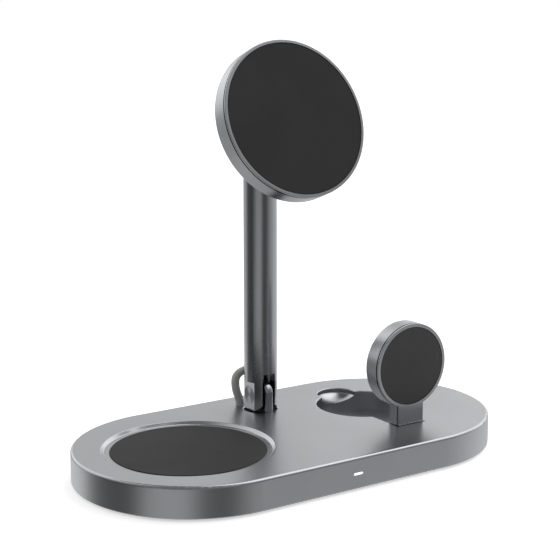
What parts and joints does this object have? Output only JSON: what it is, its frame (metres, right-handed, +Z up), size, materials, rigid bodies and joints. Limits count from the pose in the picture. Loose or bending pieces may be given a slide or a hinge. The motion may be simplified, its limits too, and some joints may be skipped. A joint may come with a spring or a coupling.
{
  "type": "magnetic desk charger",
  "caption": "Folding desk charger: low rounded base with an earbud dish, a hinged post with a tilting round magnetic phone disc, and a small watch charger that folds into a recess.",
  "frame": {"origin": "on the desk under the middle of the stadium base", "axes": "+X along the base to the watch side, +Y to the rear where the power socket is, +Z up"},
  "size_m": [0.161, 0.084, 0.1467],
  "materials": {
    "body_metal": "satin anodised grey",
    "dark_face": "fine matt soft-touch",
    "foot_rubber": "matt silicone",
    "black_plastic": "matt moulded",
    "copper": "varnished winding",
    "ferrite": "dull grey sheet",
    "magnet": "nickel plated",
    "steel": "turned",
    "board": "solder mask",
    "lens": "clear milky",
    "cable": "soft grainy jacket"
  },
  "bodies": {
    "base": {"base_shell": "body_metal", "bottom_cover": "black_plastic", "rubber_foot": "foot_rubber", "cover_screws": "steel", "earbud_pad": "dark_face", "earbud_coil": "copper", "earbud_ferrite": "ferrite", "coil_carrier": "black_plastic", "main_board": "board", "board_components": "black_plastic", "power_inlet": "steel", "inlet_tongue": "black_plastic", "indicator_lens": "lens", "indicator_led": "lens", "hinge_lug": "body_metal", "lug_screws": "steel", "cable_grommet": "cable", "cable_loop": "cable", "base_lead": "cable", "lead_connector": "black_plastic", "watch_hinge_pin": "steel"},
    "post": {"post_tube": "body_metal", "hinge_pin": "steel", "hinge_nut": "steel", "hinge_washers": "black_plastic", "post_cable": "cable", "head_pin": "steel", "head_nut": "steel", "head_washers": "black_plastic", "head_cable": "cable"},
    "head": {"phone_housing": "body_metal", "phone_bezel": "body_metal", "phone_pad": "dark_face", "phone_magnets": "magnet", "phone_coil": "copper", "phone_ferrite": "ferrite", "phone_board": "board", "head_lug": "body_metal", "head_lug_screws": "steel"},
    "watch": {"watch_back_shell": "body_metal", "watch_front_frame": "body_metal", "watch_pad": "dark_face", "watch_coil": "copper", "watch_ferrite": "ferrite", "watch_magnet": "magnet"}
  },
  "joints": [
    {"name": "post_fold", "type": "hinge", "parent": "base", "child": "post", "pos_m": [0.0037, 0.0235, 0.0177], "axis": [1, 0, 0], "range_deg": [0, 75], "deforming": ["cable_loop"]},
    {"name": "head_tilt", "type": "hinge", "parent": "post", "child": "head", "pos_m": [0.0037, 0.0235, 0.11175], "axis": [-1, 0, 0], "range_deg": [-20, 45], "deforming": ["head_cable"]},
    {"name": "watch_fold", "type": "hinge", "parent": "base", "child": "watch", "pos_m": [0.0377, -0.0184, 0.0075], "axis": [-1, 0, 0], "range_deg": [0, 90]}
  ]
}
